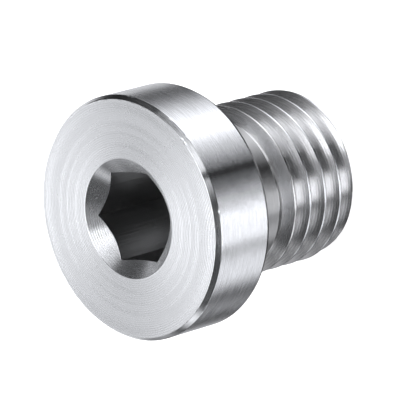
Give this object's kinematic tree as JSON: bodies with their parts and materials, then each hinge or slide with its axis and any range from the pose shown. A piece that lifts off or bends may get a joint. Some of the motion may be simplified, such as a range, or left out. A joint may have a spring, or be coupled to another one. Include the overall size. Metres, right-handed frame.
{
  "type": "hexagon socket screw plug",
  "caption": "Turned steel screw plug with a round collar, a hexagon socket in its face and a threaded shank that closes a tapped port.",
  "frame": {"origin": "centre of the threaded end's flat face, on which the plug stands", "axes": "+Z along the plug's axis, from the threaded end to the collar's face; +X through a corner of the hexagon"},
  "size_m": [0.017, 0.017, 0.017],
  "materials": {
    "turned_steel": "bare turned steel with fine concentric tool marks"
  },
  "bodies": {
    "root": {"plug": "turned_steel"}
  },
  "joints": []
}
